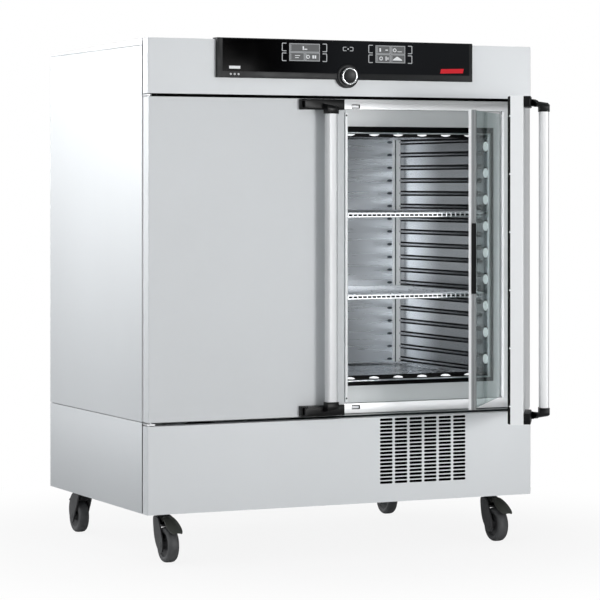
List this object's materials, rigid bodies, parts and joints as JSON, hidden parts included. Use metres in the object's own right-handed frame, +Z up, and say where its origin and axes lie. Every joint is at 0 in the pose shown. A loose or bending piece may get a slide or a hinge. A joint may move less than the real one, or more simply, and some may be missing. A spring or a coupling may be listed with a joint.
{
  "type": "laboratory incubator",
  "caption": "Cooled laboratory incubator with double outer doors, inner glass doors, steel chamber with wire shelves, control panel and castors.",
  "frame": {"origin": "on the floor, under the middle of the cabinet's width and depth (doors and handles not counted)", "axes": "+X to the cabinet's right as seen from the front, +Y to the rear, +Z up"},
  "size_m": [1.2317, 1.3249, 1.4745],
  "materials": {
    "casing_steel": "matte",
    "stainless": "satin",
    "chamber_steel": "satin",
    "galvanised": "matte",
    "black_plastic": "satin",
    "panel_plastic": "satin",
    "panel_glass": "gloss",
    "display": "gloss",
    "silver": "satin",
    "handle_aluminium": "satin",
    "seal_rubber": "matte",
    "foam": "matte",
    "door_glass": "polished",
    "profile_white": "satin",
    "castor_plastic": "satin",
    "tread": "matte",
    "machine_black": "satin",
    "board_green": "satin"
  },
  "bodies": {
    "cabinet": {"base_casing": "casing_steel", "base_front_panel": "casing_steel", "rear_panels": "galvanised", "side_panels": "casing_steel", "top_cover": "casing_steel", "header_panel": "casing_steel", "body_seals": "seal_rubber", "front_frame": "stainless", "chamber_liner": "chamber_steel", "insulation": "foam", "air_baffle": "chamber_steel", "frame_fittings": "stainless", "door_hinge_brackets": "stainless", "circulation_motor": "machine_black", "compressor": "machine_black", "condenser": "galvanised", "condenser_motor": "machine_black", "control_board": "board_green", "mains_inlet": "black_plastic", "panel_screws": "stainless", "control_housing": "panel_plastic", "control_glass": "panel_glass", "displays": "display", "castor_mounts": "galvanised"},
    "lower_shelf": {"lower_shelf": "stainless"},
    "upper_shelf": {"upper_shelf": "stainless"},
    "circulation_fan": {"circulation_impeller": "galvanised"},
    "condenser_fan": {"condenser_fan": "black_plastic"},
    "mains_rocker": {"mains_rocker": "black_plastic"},
    "knob_cap": {"knob_cap": "panel_plastic"},
    "knob_ring": {"knob_ring": "silver"},
    "left_door": {"left_door_shell": "casing_steel", "left_door_core": "foam", "left_door_inner_plate": "stainless", "left_door_gasket": "seal_rubber", "left_handle_brackets": "black_plastic"},
    "left_handle": {"left_handle_levers": "black_plastic", "left_handle_bar": "handle_aluminium"},
    "left_glass_door": {"left_glass_pane": "door_glass", "left_glass_profiles": "profile_white"},
    "right_door": {"right_door_shell": "casing_steel", "right_door_core": "foam", "right_door_inner_plate": "stainless", "right_door_gasket": "seal_rubber", "right_handle_brackets": "black_plastic"},
    "right_handle": {"right_handle_levers": "black_plastic", "right_handle_bar": "handle_aluminium"},
    "right_glass_door": {"right_glass_pane": "door_glass", "right_glass_profiles": "profile_white", "right_glass_finger_grip": "black_plastic"},
    "castor_front_left": {"castor_fork_front_left": "castor_plastic"},
    "wheel_front_left": {"castor_wheel_front_left": "tread"},
    "brake_pedal_left": {"brake_pedal_left": "castor_plastic"},
    "castor_front_right": {"castor_fork_front_right": "castor_plastic"},
    "wheel_front_right": {"castor_wheel_front_right": "tread"},
    "brake_pedal_right": {"brake_pedal_right": "castor_plastic"},
    "castor_rear_left": {"castor_fork_rear_left": "castor_plastic"},
    "wheel_rear_left": {"castor_wheel_rear_left": "tread"},
    "castor_rear_right": {"castor_fork_rear_right": "castor_plastic"},
    "wheel_rear_right": {"castor_wheel_rear_right": "tread"}
  },
  "joints": [
    {"name": "left_door_swing", "type": "hinge", "parent": "cabinet", "child": "left_door", "pos_m": [-0.597, -0.38, 0.852], "axis": [0, 0, -1], "range_deg": [0, 110]},
    {"name": "right_door_swing", "type": "hinge", "parent": "cabinet", "child": "right_door", "pos_m": [0.597, -0.38, 0.852], "axis": [0, 0, 1], "range_deg": [-58.3, 51.7]},
    {"name": "left_glass_swing", "type": "hinge", "parent": "cabinet", "child": "left_glass_door", "pos_m": [-0.538, -0.346, 0.85], "axis": [0, 0, -1], "range_deg": [0, 96.3]},
    {"name": "right_glass_swing", "type": "hinge", "parent": "cabinet", "child": "right_glass_door", "pos_m": [0.538, -0.346, 0.85], "axis": [0, 0, 1], "range_deg": [-51, 45.3]},
    {"name": "left_handle_turn", "type": "hinge", "parent": "left_door", "child": "left_handle", "pos_m": [-0.135, -0.412, 0.852], "axis": [0, 0, -1], "range_deg": [0, 10]},
    {"name": "right_handle_turn", "type": "hinge", "parent": "right_door", "child": "right_handle", "pos_m": [0.38093, -0.79074, 0.852], "axis": [0, 0, 1], "range_deg": [-10, 0]},
    {"name": "lower_shelf_slide", "type": "slide", "parent": "cabinet", "child": "lower_shelf", "axis": [0, -1, 0], "range_m": [0, 0.04]},
    {"name": "upper_shelf_slide", "type": "slide", "parent": "cabinet", "child": "upper_shelf", "axis": [0, -1, 0], "range_m": [0, 0.04]},
    {"name": "knob_push", "type": "slide", "parent": "cabinet", "child": "knob_cap", "axis": [0, 1, 0], "range_m": [0, 0.0015], "stiffness_N_per_m": 600, "springref_m": -0.002},
    {"name": "knob_turn", "type": "hinge", "parent": "knob_cap", "child": "knob_ring", "pos_m": [0, -0.425, 1.372], "axis": [0, -1, 0], "continuous": true},
    {"name": "mains_switch", "type": "hinge", "parent": "cabinet", "child": "mains_rocker", "pos_m": [-0.41, 0.394, 0.305], "axis": [1, 0, 0], "range_deg": [0, 10]},
    {"name": "circulation_fan_spin", "type": "hinge", "parent": "cabinet", "child": "circulation_fan", "pos_m": [0, 0.284, 0.85], "axis": [0, 1, 0], "continuous": true},
    {"name": "condenser_fan_spin", "type": "hinge", "parent": "cabinet", "child": "condenser_fan", "pos_m": [0.25, -0.269, 0.285], "axis": [0, 1, 0], "continuous": true},
    {"name": "castor_swivel_front_left", "type": "hinge", "parent": "cabinet", "child": "castor_front_left", "pos_m": [-0.527, -0.305, 0.122], "axis": [0, 0, 1], "continuous": true},
    {"name": "wheel_roll_front_left", "type": "hinge", "parent": "castor_front_left", "child": "wheel_front_left", "pos_m": [-0.527, -0.342, 0.05], "axis": [1, 0, 0], "continuous": true},
    {"name": "brake_press_left", "type": "hinge", "parent": "castor_front_left", "child": "brake_pedal_left", "pos_m": [-0.527, -0.339, 0.121], "axis": [1, 0, 0], "range_deg": [0, 12]},
    {"name": "castor_swivel_front_right", "type": "hinge", "parent": "cabinet", "child": "castor_front_right", "pos_m": [0.527, -0.305, 0.122], "axis": [0, 0, 1], "continuous": true},
    {"name": "wheel_roll_front_right", "type": "hinge", "parent": "castor_front_right", "child": "wheel_front_right", "pos_m": [0.527, -0.342, 0.05], "axis": [1, 0, 0], "continuous": true},
    {"name": "brake_press_right", "type": "hinge", "parent": "castor_front_right", "child": "brake_pedal_right", "pos_m": [0.527, -0.339, 0.121], "axis": [1, 0, 0], "range_deg": [0, 12]},
    {"name": "castor_swivel_rear_left", "type": "hinge", "parent": "cabinet", "child": "castor_rear_left", "pos_m": [-0.527, 0.34, 0.122], "axis": [0, 0, 1], "continuous": true},
    {"name": "wheel_roll_rear_left", "type": "hinge", "parent": "castor_rear_left", "child": "wheel_rear_left", "pos_m": [-0.527, 0.377, 0.05], "axis": [1, 0, 0], "continuous": true},
    {"name": "castor_swivel_rear_right", "type": "hinge", "parent": "cabinet", "child": "castor_rear_right", "pos_m": [0.527, 0.34, 0.122], "axis": [0, 0, 1], "continuous": true},
    {"name": "wheel_roll_rear_right", "type": "hinge", "parent": "castor_rear_right", "child": "wheel_rear_right", "pos_m": [0.527, 0.377, 0.05], "axis": [1, 0, 0], "continuous": true}
  ],
  "couplings": [
    {"joint": "left_glass_swing", "follows": "left_door_swing", "ratio": 0.87478},
    {"joint": "right_glass_swing", "follows": "right_door_swing", "ratio": 0.87478}
  ]
}
